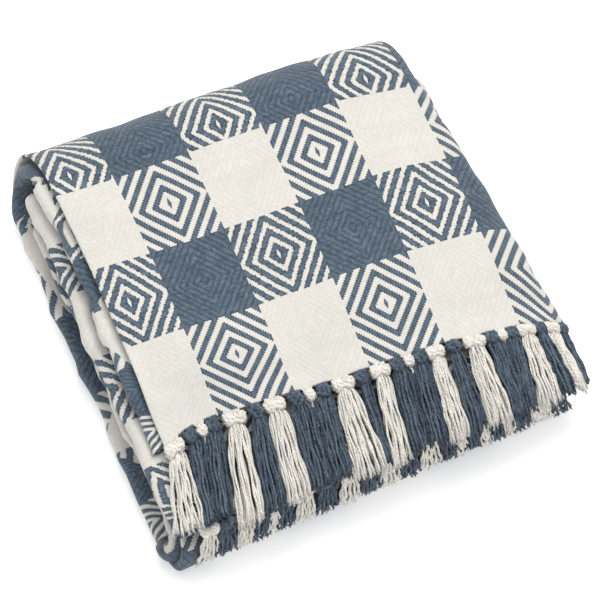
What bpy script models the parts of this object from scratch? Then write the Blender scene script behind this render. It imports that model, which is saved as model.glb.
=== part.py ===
# A heavy woven cotton throw, folded in three across its width, in half along its
# length and in half again, with rows of knotted tassels on its two short ends.
# X runs along the fringed ends, -Y is the fringed front, +Z is up.

import bpy
import bmesh
import math
from mathutils import Vector

# Cloth
CLOTH_THICK = 0.003
CLOTH_WIDTH = 1.24
LAYER_STEP = 0.0108
STACK_TOP = 11 * LAYER_STEP

# Folding lines along the length, measured from the upper fringed edge
BACK_FOLD_Y = 0.340
INNER_FOLD_Y = 0.327
FRONT_FOLD_Y = -0.0495
LOWER_EDGE_Y = -0.073
UPPER_EDGE_DROP = 0.016

# How far back the upper fringed edge lies at places along it
EDGE_RISE = (
    {"x": 0.0, "back": 0.0020}, {"x": 0.0611, "back": 0.0120}, {"x": 0.1197, "back": 0.0058},
    {"x": 0.1753, "back": 0.0015}, {"x": 0.2278, "back": 0.0}, {"x": 0.4460, "back": -0.0040},
)
EDGE_REACH = 0.085

# Colours
CREAM_CLOTH = (0.80, 0.77, 0.70)
BLUE_CLOTH = (0.090, 0.130, 0.180)
CREAM_YARN = (0.76, 0.71, 0.62)
BLUE_YARN = (0.055, 0.088, 0.135)

# Each group of three layers: how far it lies to the left, and where its right fold is
GROUPS = (
    {"name": "top", "shift": 0.0, "right_fold": 0.4460, "right_skew": -0.048},
    {"name": "bottom", "shift": -0.0265, "right_fold": 0.4080, "right_skew": 0.0},
    {"name": "third", "shift": -0.0140, "right_fold": 0.4080, "right_skew": 0.0},
    {"name": "second", "shift": -0.0200, "right_fold": 0.4310, "right_skew": 0.0},
)

# The run of the sheet along its length, front edge first
LENGTH_RUNS = (
    {"name": "top group", "steps": 9, "group": 0, "next": 0},
    {"name": "outer back fold", "steps": 9, "group": 0, "next": 1},
    {"name": "bottom group", "steps": 7, "group": 1, "next": 1},
    {"name": "front fold", "steps": 6, "group": 1, "next": 2},
    {"name": "third group", "steps": 6, "group": 2, "next": 2},
    {"name": "inner back fold", "steps": 5, "group": 2, "next": 3},
    {"name": "second group", "steps": 9, "group": 3, "next": 3},
)

# The run of the sheet across its width, upper left edge first
WIDTH_RUNS = (
    {"name": "upper layer", "steps": 10},
    {"name": "right fold", "steps": 5},
    {"name": "lower layer", "steps": 8},
    {"name": "left fold", "steps": 4},
    {"name": "tucked layer", "steps": 7},
)

# The upper knots from left to right: where each is along the edge, its size, and
# how far its strands reach along the row's drape
UPPER_KNOTS = (
    {"x": 0.0090, "size": 1.00, "reach": 0.78}, {"x": 0.0302, "size": 0.85, "reach": 0.76},
    {"x": 0.0431, "size": 0.50, "reach": 0.80}, {"x": 0.0555, "size": 0.80, "reach": 0.82},
    {"x": 0.0787, "size": 1.10, "reach": 0.97}, {"x": 0.1021, "size": 0.95, "reach": 0.92},
    {"x": 0.1229, "size": 1.00, "reach": 0.92}, {"x": 0.1470, "size": 1.00, "reach": 0.84},
    {"x": 0.1618, "size": 0.55, "reach": 0.80}, {"x": 0.1770, "size": 0.90, "reach": 0.82},
    {"x": 0.1988, "size": 1.10, "reach": 0.84}, {"x": 0.2201, "size": 0.85, "reach": 0.78},
    {"x": 0.2401, "size": 0.95, "reach": 0.90}, {"x": 0.2600, "size": 0.90, "reach": 0.88},
    {"x": 0.2726, "size": 0.50, "reach": 0.80}, {"x": 0.2856, "size": 0.85, "reach": 0.88},
    {"x": 0.3022, "size": 0.85, "reach": 0.96}, {"x": 0.3233, "size": 0.95, "reach": 0.94},
    {"x": 0.3457, "size": 1.10, "reach": 0.96}, {"x": 0.3656, "size": 0.80, "reach": 0.90},
    {"x": 0.3770, "size": 0.50, "reach": 0.80}, {"x": 0.3884, "size": 0.75, "reach": 0.88},
    {"x": 0.4038, "size": 0.90, "reach": 0.94}, {"x": 0.4201, "size": 0.80, "reach": 0.84},
    {"x": 0.4345, "size": 0.75, "reach": 0.82}, {"x": 0.4482, "size": 0.70, "reach": 0.76},
)

# The lower knots in the same way
LOWER_KNOTS = (
    {"x": 0.0110, "size": 0.95, "reach": 1.00}, {"x": 0.0310, "size": 1.00, "reach": 0.97},
    {"x": 0.0530, "size": 0.90, "reach": 1.00}, {"x": 0.0718, "size": 0.90, "reach": 0.98},
    {"x": 0.0846, "size": 0.50, "reach": 0.96}, {"x": 0.0974, "size": 0.90, "reach": 0.98},
    {"x": 0.1200, "size": 1.00, "reach": 0.99}, {"x": 0.1450, "size": 1.00, "reach": 0.96},
    {"x": 0.1700, "size": 1.00, "reach": 1.00}, {"x": 0.1940, "size": 0.95, "reach": 0.98},
    {"x": 0.2165, "size": 0.90, "reach": 0.97}, {"x": 0.2390, "size": 0.95, "reach": 0.99},
    {"x": 0.2625, "size": 1.00, "reach": 1.00}, {"x": 0.2850, "size": 0.95, "reach": 0.97},
    {"x": 0.2985, "size": 0.50, "reach": 0.96}, {"x": 0.3120, "size": 0.95, "reach": 0.98},
    {"x": 0.3255, "size": 0.50, "reach": 0.97}, {"x": 0.3390, "size": 0.90, "reach": 0.98},
    {"x": 0.3525, "size": 0.50, "reach": 0.96}, {"x": 0.3660, "size": 0.90, "reach": 0.99},
    {"x": 0.3880, "size": 1.00, "reach": 1.00}, {"x": 0.4100, "size": 0.95, "reach": 0.98},
)

# Where the strands of each row run: y and z at the shares of their length
UPPER_DRAPE = (
    {"share": 0.00, "y": -0.0140, "z": 0.0985},
    {"share": 0.32, "y": -0.0440, "z": 0.0932},
    {"share": 0.67, "y": -0.0780, "z": 0.0885},
    {"share": 0.83, "y": -0.0905, "z": 0.0755},
    {"share": 1.00, "y": -0.0930, "z": 0.0580},
)
LOWER_DRAPE = (
    {"share": 0.00, "y": -0.0815, "z": 0.0670},
    {"share": 0.45, "y": -0.0845, "z": 0.0380},
    {"share": 1.00, "y": -0.0800, "z": 0.0120},
)


def remove_scene_objects():
    for item in list(bpy.data.objects):
        bpy.data.objects.remove(item, do_unlink=True)


def ease(value):
    value = min(1.0, max(0.0, value))
    return value * value * (3.0 - 2.0 * value)


def blend(first, second, share):
    return first + (second - first) * share


def edge_rise(x):
    """How far back the upper fringed edge lies at one place along it."""
    last = EDGE_RISE[0]
    for row in EDGE_RISE[1:]:
        if x < row["x"]:
            share = max(0.0, (x - last["x"]) / (row["x"] - last["x"]))
            return blend(last["back"], row["back"], share)
        last = row
    return last["back"]


def settle(x, y, z, top_share=0.0):
    """Moves a point of the neat stack to where the soft stack sags and leans.
    top_share tells how far the point goes with the top group, whose right side
    reaches over the groups beneath and hangs."""
    height = z / STACK_TOP
    right = ease((x - 0.30) / 0.17)
    back = ease((y - 0.05) / 0.30)
    sag = 0.16 * right + 0.08 * right * back
    hang = max(0.0, x - 0.400)
    overhang = top_share * hang * hang * 5.2
    wave = 0.0016 * math.sin(17.0 * x + 9.0 * y + 0.6)
    wave += 0.0011 * math.sin(-11.0 * x + 23.0 * y + 2.1)
    wave += 0.0007 * math.sin(37.0 * x + 14.0 * y + 4.0)
    lean_x = 0.0016 * math.sin(14.0 * y + 5.0 * height)
    lean_y = 0.0020 * math.sin(9.0 * x + 3.0 * height + 1.0)
    middle = max(0.0, 1.0 - ((x - 0.235) / 0.22) ** 2)
    fringe = top_share * middle * ease((0.085 - y) / 0.085) * ease((y + 0.06) / 0.05)
    front = ease((0.02 - y) / 0.10)
    rise = edge_rise(x) * top_share * ease((0.085 - y) / 0.085) * ease((y + 0.090) / 0.055)
    new_x = x + lean_x * height - 0.35 * overhang
    new_y = y + lean_y * height + 0.007 * fringe + rise + (0.033 * x / 0.43 - 0.017) * front
    new_z = z * (1.0 - sag) + wave * height - overhang + 0.009 * fringe
    return Vector((new_x, new_y, new_z + CLOTH_THICK / 2))


def bend(centre, radius, angle):
    return centre[0] + radius * math.sin(angle), centre[1] + radius * math.cos(angle)


def length_station(run, share, depth):
    """Y, Z and the closeness of the layers at one place along the length.
    depth is the distance inward from the outer layer of the three."""
    step = LAYER_STEP
    if run == 0:
        y = blend(0.0, BACK_FOLD_Y, share)
        near = 1.0 - ease(y / EDGE_REACH)
        return y, STACK_TOP - UPPER_EDGE_DROP * near - depth * (1.0 - 0.42 * near)
    if run == 1:
        return bend((BACK_FOLD_Y, 5.5 * step), 5.5 * step - depth, math.pi * share)
    if run == 2:
        return blend(BACK_FOLD_Y, FRONT_FOLD_Y, share), depth
    if run == 3:
        y, z = bend((FRONT_FOLD_Y, 2.5 * step), 2.5 * step - depth, math.pi * (1.0 + share))
        return y, z
    if run == 4:
        return blend(FRONT_FOLD_Y, INNER_FOLD_Y, share), 5.0 * step - depth
    if run == 5:
        angle = math.pi * (1.0 - share)
        return bend((INNER_FOLD_Y, 5.5 * step), 0.5 * step + depth, angle)
    y = blend(INNER_FOLD_Y, LOWER_EDGE_Y, share)
    near = 1.0 - ease((y - LOWER_EDGE_Y) / EDGE_REACH)
    return y, 6.0 * step + 0.004 * near + depth * (1.0 - 0.40 * near)


def right_fold_line(run, share):
    """Where the right fold lies, and how far its group is moved to the left."""
    row = LENGTH_RUNS[run]
    first = GROUPS[row["group"]]
    second = GROUPS[row["next"]]
    skewed = first["right_fold"]
    if run == 0:
        skewed += first["right_skew"] * share ** 0.75
    if run == 1:
        skewed += first["right_skew"]
    turn = ease(share)
    return blend(skewed, second["right_fold"], turn if run in (1, 3, 5) else 0.0), \
        blend(first["shift"], second["shift"], turn)


def width_station(run, share, fold_x):
    """X and the depth inward from the outer layer at one place across the width."""
    step = LAYER_STEP
    left_x = 0.0022
    if run == 0:
        return fold_x * (1.0 - (1.0 - share) ** 1.4), 0.0
    if run == 1:
        angle = math.pi * share
        return fold_x + step * math.sin(angle), step * (1.0 - math.cos(angle))
    if run == 2:
        return blend(fold_x, left_x, share ** 1.4), 2.0 * step
    if run == 3:
        angle = math.pi * share
        return left_x - 0.5 * step * math.sin(angle), step * (1.5 + 0.5 * math.cos(angle))
    used = fold_x + math.pi * step + (fold_x - left_x) + 0.5 * math.pi * step
    return blend(left_x, left_x + CLOTH_WIDTH - used, share), step


def run_stations(runs):
    """The sections of a run of cloth, as run number and share along it."""
    stations = [(0, 0.0)]
    for number, row in enumerate(runs):
        for step in range(1, row["steps"] + 1):
            stations.append((number, step / row["steps"]))
    return stations


def make_material(name, colour, roughness):
    material = bpy.data.materials.new(name)
    material.use_nodes = True
    shader = material.node_tree.nodes["Principled BSDF"]
    shader.inputs["Base Color"].default_value = (colour[0], colour[1], colour[2], 1.0)
    shader.inputs["Roughness"].default_value = roughness
    shader.inputs["Metallic"].default_value = 0.0
    return material


def make_object(name, mesh_data, colour, roughness):
    mesh = bpy.data.meshes.new(name)
    mesh_data.to_mesh(mesh)
    mesh_data.free()
    item = bpy.data.objects.new(name, mesh)
    bpy.context.scene.collection.objects.link(item)
    mesh.materials.append(make_material(name + "_surface", colour, roughness))
    return item


def make_cloth():
    """One sheet laid back and forth in twelve layers, then given its thickness."""
    sheet = bmesh.new()
    rows = []
    for length_run, length_share in run_stations(LENGTH_RUNS):
        fold_x, shift = right_fold_line(length_run, length_share)
        top_share = 1.0 if length_run == 0 else 0.0
        if length_run == 1:
            top_share = 1.0 - ease(length_share * 1.6)
        row = []
        for width_run, width_share in run_stations(WIDTH_RUNS):
            x, depth = width_station(width_run, width_share, fold_x)
            y, z = length_station(length_run, length_share, depth)
            row.append(sheet.verts.new(settle(x + shift, y, z, top_share)))
        rows.append(row)
    thicken(sheet, rows)
    return make_object("cloth", sheet, BLUE_CLOTH, 0.92)


def sheet_normal(rows, line, place):
    """The direction square to the sheet at one corner of its grid, and its stretch
    at a bend, so that the faces on both sides keep the full thickness."""
    before = rows[max(0, line - 1)][place].co
    after = rows[min(len(rows) - 1, line + 1)][place].co
    left = rows[line][max(0, place - 1)].co
    right = rows[line][min(len(rows[0]) - 1, place + 1)].co
    here = rows[line][place].co
    normal = (right - left).cross(after - before).normalized()
    stretch = 1.0
    for spot in (before, after, left, right):
        reach = spot - here
        if reach.length > 1e-9:
            tilt = abs(reach.normalized().dot(normal))
            stretch = max(stretch, 1.0 / math.sqrt(max(0.6, 1.0 - tilt * tilt)))
    return normal * stretch


def thicken(sheet, rows):
    """Makes the closed body of the cloth from the grid of its middle surface."""
    half = CLOTH_THICK / 2
    upper = []
    lower = []
    for line in range(len(rows)):
        normals = [sheet_normal(rows, line, place) for place in range(len(rows[line]))]
        spots = [corner.co.copy() for corner in rows[line]]
        upper.append([sheet.verts.new(s + n * half) for s, n in zip(spots, normals)])
        lower.append([sheet.verts.new(s - n * half) for s, n in zip(spots, normals)])
    for corner in [corner for row in rows for corner in row]:
        sheet.verts.remove(corner)
    for corner in sheet.verts:
        corner.co.z = max(0.0, corner.co.z)
    for line in range(len(upper) - 1):
        for place in range(len(upper[0]) - 1):
            add_quad(sheet, upper, line, place, False)
            add_quad(sheet, lower, line, place, True)
    border = [(line, 0) for line in range(len(upper))]
    border += [(len(upper) - 1, place) for place in range(1, len(upper[0]))]
    border += [(line, len(upper[0]) - 1) for line in range(len(upper) - 2, -1, -1)]
    border += [(0, place) for place in range(len(upper[0]) - 2, -1, -1)]
    for first, second in zip(border, border[1:]):
        a, b = upper[first[0]][first[1]], upper[second[0]][second[1]]
        c, d = lower[second[0]][second[1]], lower[first[0]][first[1]]
        sheet.faces.new((a, b, c, d))
    bmesh.ops.recalc_face_normals(sheet, faces=sheet.faces)
    face_outward(sheet)


def add_quad(sheet, grid, line, place, flip):
    corners = [grid[line][place], grid[line][place + 1]]
    corners += [grid[line + 1][place + 1], grid[line + 1][place]]
    if flip:
        corners.reverse()
    sheet.faces.new(corners)


def face_outward(body):
    if body.calc_volume(signed=True) < 0.0:
        bmesh.ops.reverse_faces(body, faces=body.faces)


def drape_point(drape, share):
    """A place on a row's drape, and the direction it runs in."""
    for first, second in zip(drape, drape[1:]):
        if share <= second["share"] + 1e-9:
            part = (share - first["share"]) / (second["share"] - first["share"])
            y = blend(first["y"], second["y"], part)
            z = blend(first["z"], second["z"], part)
            return y, z
    return drape[-1]["y"], drape[-1]["z"]


def drape_direction(drape, share):
    before = drape_point(drape, max(0.0, share - 0.08))
    after = drape_point(drape, min(1.0, share + 0.08))
    along = Vector((after[0] - before[0], after[1] - before[1]))
    along.normalize()
    return along


def tassel_ring(tassel, centre, across, deep, tilt, locks):
    """A flat ring with one place for each side of each lock, as two rows of corners."""
    rows = []
    normal_y = math.cos(tilt)
    normal_z = math.sin(tilt)
    for side in (1.0, -1.0):
        row = []
        for place in range(locks + 1):
            reach = 2.0 * place / locks - 1.0
            round_off = math.sqrt(max(0.0, 1.0 - 0.72 * reach * reach))
            x = centre[0] + reach * across
            y = centre[1] + side * deep * round_off * normal_y
            z = centre[2] + side * deep * round_off * normal_z
            row.append(tassel.verts.new((x, y, z)))
        rows.append(row)
    return rows


def join_rings(tassel, upper, lower):
    loop_a = upper[0] + list(reversed(upper[1]))
    loop_b = lower[0] + list(reversed(lower[1]))
    count = len(loop_a)
    for place in range(count):
        after = (place + 1) % count
        tassel.faces.new((loop_a[place], loop_a[after], loop_b[after], loop_b[place]))


def cap_ring(tassel, ring, flip):
    faces = []
    for place in range(len(ring[0]) - 1):
        corners = [ring[0][place], ring[0][place + 1], ring[1][place + 1], ring[1][place]]
        if flip:
            corners.reverse()
        faces.append(tassel.faces.new(corners))
    return faces


def lock_section(drape, place, row, knot, share):
    """The four corners of one lock at a share of its length, before settling."""
    y, z = drape_point(drape, share)
    along = drape_direction(drape, share)
    left = blend(-row["root_across"] * knot["size"], knot["tip_left"], share)
    right = blend(row["root_across"] * knot["size"], knot["tip_right"], share)
    spread = 0.5 * (right - left)
    locks = row["locks"]
    mid = (2.0 * (place + 0.5) / locks - 1.0) * spread
    half = spread / locks - row["lock_gap"] / 2
    deep = blend(row["root_deep"], row["tip_deep"], share)
    deep *= math.sqrt(1.0 - 0.6 * (mid / spread) ** 2)
    corners = []
    for side, turn in ((-1, 1), (1, 1), (1, -1), (-1, -1)):
        x = 0.5 * (left + right) + mid + side * half
        off_y = -along[1] * turn * deep
        off_z = along[0] * turn * deep
        corners.append((x, y - off_y, z - off_z))
    return corners


def make_tassel(name, knot, row, drape, colour):
    """A knotted head with its locks hanging from it, in one body."""
    tassel = bmesh.new()
    x = knot["x"]
    rings = []
    for level in row["head"]:
        spot = (x, row["edge_y"] - level["out"], level["z"])
        across = level["across"] * knot["size"]
        ring = tassel_ring(tassel, spot, across, level["deep"], level["tilt"], row["locks"])
        rings.append(ring)
    for upper, lower in zip(rings, rings[1:]):
        join_rings(tassel, upper, lower)
    cap_ring(tassel, rings[0], True)
    roots = cap_ring(tassel, rings[-1], False)
    tassel.normal_update()
    last = knot["reach"]
    for place, root in enumerate(roots):
        ring = [corner for corner in root.verts]
        bmesh.ops.delete(tassel, geom=[root], context="FACES_ONLY")
        stray = 1.0 - row["uneven"] * (0.5 + 0.5 * math.sin(7.3 * place + x * 900.0))
        for share in row["shares"]:
            end = share * last * (stray if share == 1.0 else 1.0)
            corners = lock_section(drape, place, row, knot, end)
            fresh = [tassel.verts.new((x + c[0], c[1], c[2])) for c in corners]
            for spot in range(4):
                after = (spot + 1) % 4
                tassel.faces.new((ring[spot], ring[after], fresh[after], fresh[spot]))
            ring = fresh
        tassel.faces.new(ring)
    bmesh.ops.recalc_face_normals(tassel, faces=tassel.faces)
    for corner in tassel.verts:
        corner.co = settle(corner.co.x, corner.co.y, corner.co.z, row["top_share"])
    bmesh.ops.triangulate(tassel, faces=tassel.faces)
    face_outward(tassel)
    return make_object(name, tassel, colour, 0.95)


UPPER_ROW = {
    "top_share": 1.0,
    "locks": 5, "edge_y": -0.0002, "root_across": 0.0052, "widest": 0.0110,
    "root_deep": 0.0034, "tip_deep": 0.0028, "lock_gap": 0.0006,
    "first_lean": 0.0160, "last_lean": 0.0030,
    "uneven": 0.06, "shares": (0.03, 0.32, 0.67, 0.83, 1.0),
    "head": (
        {"out": 0.0021, "z": 0.1038, "across": 0.0036, "deep": 0.0019, "tilt": 0.10},
        {"out": 0.0064, "z": 0.1034, "across": 0.0066, "deep": 0.0050, "tilt": 0.45},
        {"out": 0.0104, "z": 0.1008, "across": 0.0050, "deep": 0.0036, "tilt": 0.90},
        {"out": 0.0122, "z": 0.0994, "across": 0.0052, "deep": 0.0034, "tilt": 1.10},
    ),
}

LOWER_ROW = {
    "top_share": 0.0,
    "locks": 3, "edge_y": LOWER_EDGE_Y - 0.0002, "root_across": 0.0050,
    "widest": 0.0110, "root_deep": 0.0028, "tip_deep": 0.0022, "lock_gap": 0.0006,
    "first_lean": 0.0030, "last_lean": -0.0080, "uneven": 0.03, "shares": (0.04, 0.45, 1.0),
    "head": (
        {"out": 0.0024, "z": 0.0812, "across": 0.0034, "deep": 0.0023, "tilt": 2.92},
        {"out": 0.0054, "z": 0.0758, "across": 0.0062, "deep": 0.0040, "tilt": 2.84},
        {"out": 0.0072, "z": 0.0695, "across": 0.0050, "deep": 0.0028, "tilt": 2.98},
    ),
}


def share_between(knots, number):
    """Where the strands of one knot and of the next part at their tips."""
    knot, after = knots[number], knots[number + 1]
    return blend(knot["x"], after["x"], knot["size"] / (knot["size"] + after["size"]))


def make_row(kind, knots, row, drape):
    """One row of tassels, cream and blue in turn, apart from each other throughout."""
    for number, knot in enumerate(knots):
        low = knot["x"] - row["widest"]
        high = knot["x"] + row["widest"]
        if number > 0:
            low = max(low, share_between(knots, number - 1) + row["lock_gap"] / 2)
        if number < len(knots) - 1:
            high = min(high, share_between(knots, number) - row["lock_gap"] / 2)
        lean = blend(row["first_lean"], row["last_lean"], number / (len(knots) - 1))
        ends = {"tip_left": low - knot["x"] - lean, "tip_right": high - knot["x"] - lean}
        shade = "cream" if number % 2 == 0 else "blue"
        colour = CREAM_YARN if shade == "cream" else BLUE_YARN
        name = kind + "_" + shade + "_" + str(number + 1).zfill(2)
        make_tassel(name, {**knot, **ends}, row, drape, colour)


def centre_on_floor():
    """Moves every piece so that the middle of the whole is over the origin."""
    bpy.context.view_layer.update()
    graph = bpy.context.evaluated_depsgraph_get()
    low = [1e9, 1e9, 1e9]
    high = [-1e9, -1e9, -1e9]
    for item in bpy.data.objects:
        shape = item.evaluated_get(graph).to_mesh()
        for corner in shape.vertices:
            for axis in range(3):
                low[axis] = min(low[axis], corner.co[axis])
                high[axis] = max(high[axis], corner.co[axis])
    move = Vector((-(low[0] + high[0]) / 2, -(low[1] + high[1]) / 2, -low[2]))
    print("moved by", tuple(round(part, 6) for part in move), "size",
          tuple(round(high[axis] - low[axis], 5) for axis in range(3)))
    for item in bpy.data.objects:
        for corner in item.data.vertices:
            corner.co += move
        item.data.update()


remove_scene_objects()
make_cloth()
make_row("tassel_upper", UPPER_KNOTS, UPPER_ROW, UPPER_DRAPE)
make_row("tassel_lower", LOWER_KNOTS, LOWER_ROW, LOWER_DRAPE)
centre_on_floor()
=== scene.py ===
import bpy
import math
import random
import numpy as np
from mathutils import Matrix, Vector


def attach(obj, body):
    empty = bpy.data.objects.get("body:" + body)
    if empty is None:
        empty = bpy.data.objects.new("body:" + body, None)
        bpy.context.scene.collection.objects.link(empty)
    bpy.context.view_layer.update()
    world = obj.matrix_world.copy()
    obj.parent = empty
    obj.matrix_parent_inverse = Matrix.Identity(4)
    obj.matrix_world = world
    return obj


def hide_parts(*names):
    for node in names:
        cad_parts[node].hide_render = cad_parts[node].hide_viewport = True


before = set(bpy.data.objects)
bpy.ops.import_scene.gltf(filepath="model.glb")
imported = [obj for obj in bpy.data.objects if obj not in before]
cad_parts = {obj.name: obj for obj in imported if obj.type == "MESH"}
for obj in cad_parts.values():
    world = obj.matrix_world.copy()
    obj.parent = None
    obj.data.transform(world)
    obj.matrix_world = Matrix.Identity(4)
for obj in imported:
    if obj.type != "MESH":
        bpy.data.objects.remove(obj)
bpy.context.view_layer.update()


# THE SURFACE, THE LIGHT AND THE CAMERA
# The throw lies on a plain pale studio sweep, seen from its front left corner and
# from well above, through a very long lens, in soft light from above and behind.
FLOOR_COLOUR = (0.93, 0.93, 0.93)
FLOOR_GLOW = 0.46
PICTURE_SIDE = 600.0
PIXELS_PER_METRE = 965.0
SENSOR_SIDE = 36.0
CAMERA_DISTANCE = 14.0

# Which way the camera looks, and where in its picture the top's front left corner lies
VIEW_TURN = math.radians(21.6)
VIEW_RISE = math.radians(59.0)
CORNER_PLACE = Vector((-0.209716, -0.146699, 0.1045))
CORNER_PIXEL = (165.0, 446.0)


def make_floor():
    """The pale paper sweep, which glows a little so that it comes out nearly white."""
    mesh = bpy.data.meshes.new("studio_floor")
    reach = 6.0
    corners = [(-reach, -reach, 0.0), (reach, -reach, 0.0), (reach, reach, 0.0), (-reach, reach, 0.0)]
    mesh.from_pydata(corners, [], [(0, 1, 2, 3)])
    floor = bpy.data.objects.new("studio_floor", mesh)
    bpy.context.scene.collection.objects.link(floor)
    material = bpy.data.materials.new("studio_floor_paper")
    material.use_nodes = True
    shader = material.node_tree.nodes["Principled BSDF"]
    shader.inputs["Base Color"].default_value = (*FLOOR_COLOUR, 1.0)
    shader.inputs["Roughness"].default_value = 0.9
    shader.inputs["Specular IOR Level"].default_value = 0.1
    shader.inputs["Emission Color"].default_value = (1.0, 1.0, 1.0, 1.0)
    shader.inputs["Emission Strength"].default_value = FLOOR_GLOW
    mesh.materials.append(material)


def make_light(name, place, aim, size, power, colour):
    """A square soft box at a place, turned toward what it lights."""
    lamp = bpy.data.lights.new(name, "AREA")
    lamp.shape = "SQUARE"
    lamp.size = size
    lamp.energy = power
    lamp.color = colour
    item = bpy.data.objects.new(name, lamp)
    item.location = place
    item.rotation_mode = "QUATERNION"
    item.rotation_quaternion = (Vector(aim) - Vector(place)).to_track_quat("-Z", "Y")
    bpy.context.scene.collection.objects.link(item)


def make_camera():
    """The camera, far off along its line of sight, with the corner at its place."""
    toward = Vector((math.sin(VIEW_TURN) * math.cos(VIEW_RISE),
                     math.cos(VIEW_TURN) * math.cos(VIEW_RISE), -math.sin(VIEW_RISE)))
    right = Vector((math.cos(VIEW_TURN), -math.sin(VIEW_TURN), 0.0))
    up = right.cross(toward)
    centre = CORNER_PLACE - right * ((CORNER_PIXEL[0] - PICTURE_SIDE / 2) / PIXELS_PER_METRE)
    centre += up * ((CORNER_PIXEL[1] - PICTURE_SIDE / 2) / PIXELS_PER_METRE)
    lens = bpy.data.cameras.new("camera")
    lens.type = "PERSP"
    lens.sensor_width = SENSOR_SIDE
    lens.lens = SENSOR_SIDE * CAMERA_DISTANCE / (PICTURE_SIDE / PIXELS_PER_METRE)
    lens.clip_start = 1.0
    lens.clip_end = 60.0
    item = bpy.data.objects.new("camera", lens)
    item.location = centre - toward * CAMERA_DISTANCE
    item.rotation_mode = "QUATERNION"
    item.rotation_quaternion = toward.to_track_quat("-Z", "Y")
    bpy.context.scene.collection.objects.link(item)
    bpy.context.scene.camera = item


make_floor()
make_camera()
make_light("window_light", (0.8, 1.0, 3.3), (0.0, 0.0, 0.05), 2.4, 76.0, (1.0, 0.985, 0.96))
make_light("front_fill", (-1.6, -2.4, 2.0), (0.0, 0.0, 0.05), 2.6, 15.0, (0.97, 0.985, 1.0))
make_light("top_soft_box", (0.0, 0.0, 3.2), (0.0, 0.0, 0.0), 3.0, 47.0, (1.0, 1.0, 1.0))
world = bpy.data.worlds.new("studio")
world.use_nodes = True
world.node_tree.nodes["Background"].inputs["Color"].default_value = (1.0, 1.0, 1.0, 1.0)
world.node_tree.nodes["Background"].inputs["Strength"].default_value = 0.25
bpy.context.scene.world = world
bpy.context.scene.view_settings.view_transform = "Standard"


# THE CLOTH
# One length of heavy cotton, woven in a diamond twill from cream and slate blue
# threads in wide stripes both ways, so that it shows a check. It is folded in
# three across its width and in four along its length, twelve layers in all.

# The sheet's own size, the step from one layer to the next, and the stack's height
CLOTH_THICK = 0.003
CLOTH_WIDTH = 1.24
LAYER_STEP = 0.0108
STACK_TOP = 11 * LAYER_STEP

# From the top layer's front left corner, which the places below count from
TO_FRAME = np.array((-0.209716, -0.146699, 0.0))

# Where the folds and the lower fringed edge lie, and how far the upper one drops
BACK_FOLD_Y = 0.340
INNER_FOLD_Y = 0.327
FRONT_FOLD_Y = -0.0495
LOWER_EDGE_Y = -0.073
UPPER_EDGE_DROP = 0.016
EDGE_REACH = 0.085
LEFT_FOLD_X = 0.0022

# The width of a stripe, and where in its first stripe the cloth begins
STRIPE_ACROSS = 0.08355
FIRST_STRIPE = 0.22


def named_rows(columns, rows):
    """Rows of numbers, each number under its column's name."""
    return [dict(zip(columns.split(), row)) for row in rows]


# The groups of layers: how far each lies to the left, where its right fold is, and
# how much further left that fold comes toward the back
GROUPS = {
    "top": {"shift": 0.0, "right_fold": 0.4460, "right_skew": -0.048},
    "bottom": {"shift": -0.0265, "right_fold": 0.4080, "right_skew": 0.0},
    "third": {"shift": -0.0140, "right_fold": 0.4080, "right_skew": 0.0},
    "second": {"shift": -0.0200, "right_fold": 0.4310, "right_skew": 0.0},
}

# The runs of the cloth's length from its upper fringed edge to its lower one, each
# with its number of steps and the groups that it lies in or joins
TOP_GROUP, BACK_FOLD, BOTTOM_GROUP, FRONT_FOLD, THIRD_GROUP, INNER_FOLD, SECOND_GROUP = range(7)
LENGTH_RUNS = {
    TOP_GROUP: {"steps": 96, "group": "top", "next": "top"},
    BACK_FOLD: {"steps": 20, "group": "top", "next": "bottom"},
    BOTTOM_GROUP: {"steps": 24, "group": "bottom", "next": "bottom"},
    FRONT_FOLD: {"steps": 14, "group": "bottom", "next": "third"},
    THIRD_GROUP: {"steps": 20, "group": "third", "next": "third"},
    INNER_FOLD: {"steps": 10, "group": "third", "next": "second"},
    SECOND_GROUP: {"steps": 34, "group": "second", "next": "second"},
}

# The runs of the cloth's width from its upper left selvedge to its inner one
UPPER_LAYER, RIGHT_FOLD, LOWER_LAYER, LEFT_FOLD, TUCKED_LAYER = range(5)
WIDTH_RUNS = {
    UPPER_LAYER: {"steps": 112}, RIGHT_FOLD: {"steps": 12}, LOWER_LAYER: {"steps": 22},
    LEFT_FOLD: {"steps": 10}, TUCKED_LAYER: {"steps": 12},
}

# Which stripe along the cloth lies where, at the start and the end of each run
STRIPES_ALONG = {
    TOP_GROUP: {"start": -0.179, "end": 3.245},
    BACK_FOLD: {"start": 3.245, "end": 5.24},
    BOTTOM_GROUP: {"start": 5.24, "end": 9.40},
    FRONT_FOLD: {"start": 9.40, "end": 10.30},
    THIRD_GROUP: {"start": 10.30, "end": 14.20},
    INNER_FOLD: {"start": 14.20, "end": 14.40},
}

# How far back the upper fringed edge lies at places along it
EDGE_RISE = named_rows("x back", (
    (0.0, 0.0020), (0.010, 0.0048), (0.020, 0.0092), (0.030, 0.0112), (0.045, 0.0120),
    (0.0611, 0.0116), (0.080, 0.0088), (0.100, 0.0068), (0.1197, 0.0058), (0.140, 0.0038),
    (0.1753, 0.0014), (0.2278, 0.0), (0.446, -0.0040),
))

# Which stripe along the cloth lies where in the second group, from its fringed edge
SECOND_GROUP_STRIPES = named_rows("y along", (
    (-0.073, 19.95), (-0.005, 19.0), (0.049, 18.0), (0.134, 17.0),
    (0.216, 16.0), (0.276, 15.0), (0.327, 14.4),
))

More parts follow.
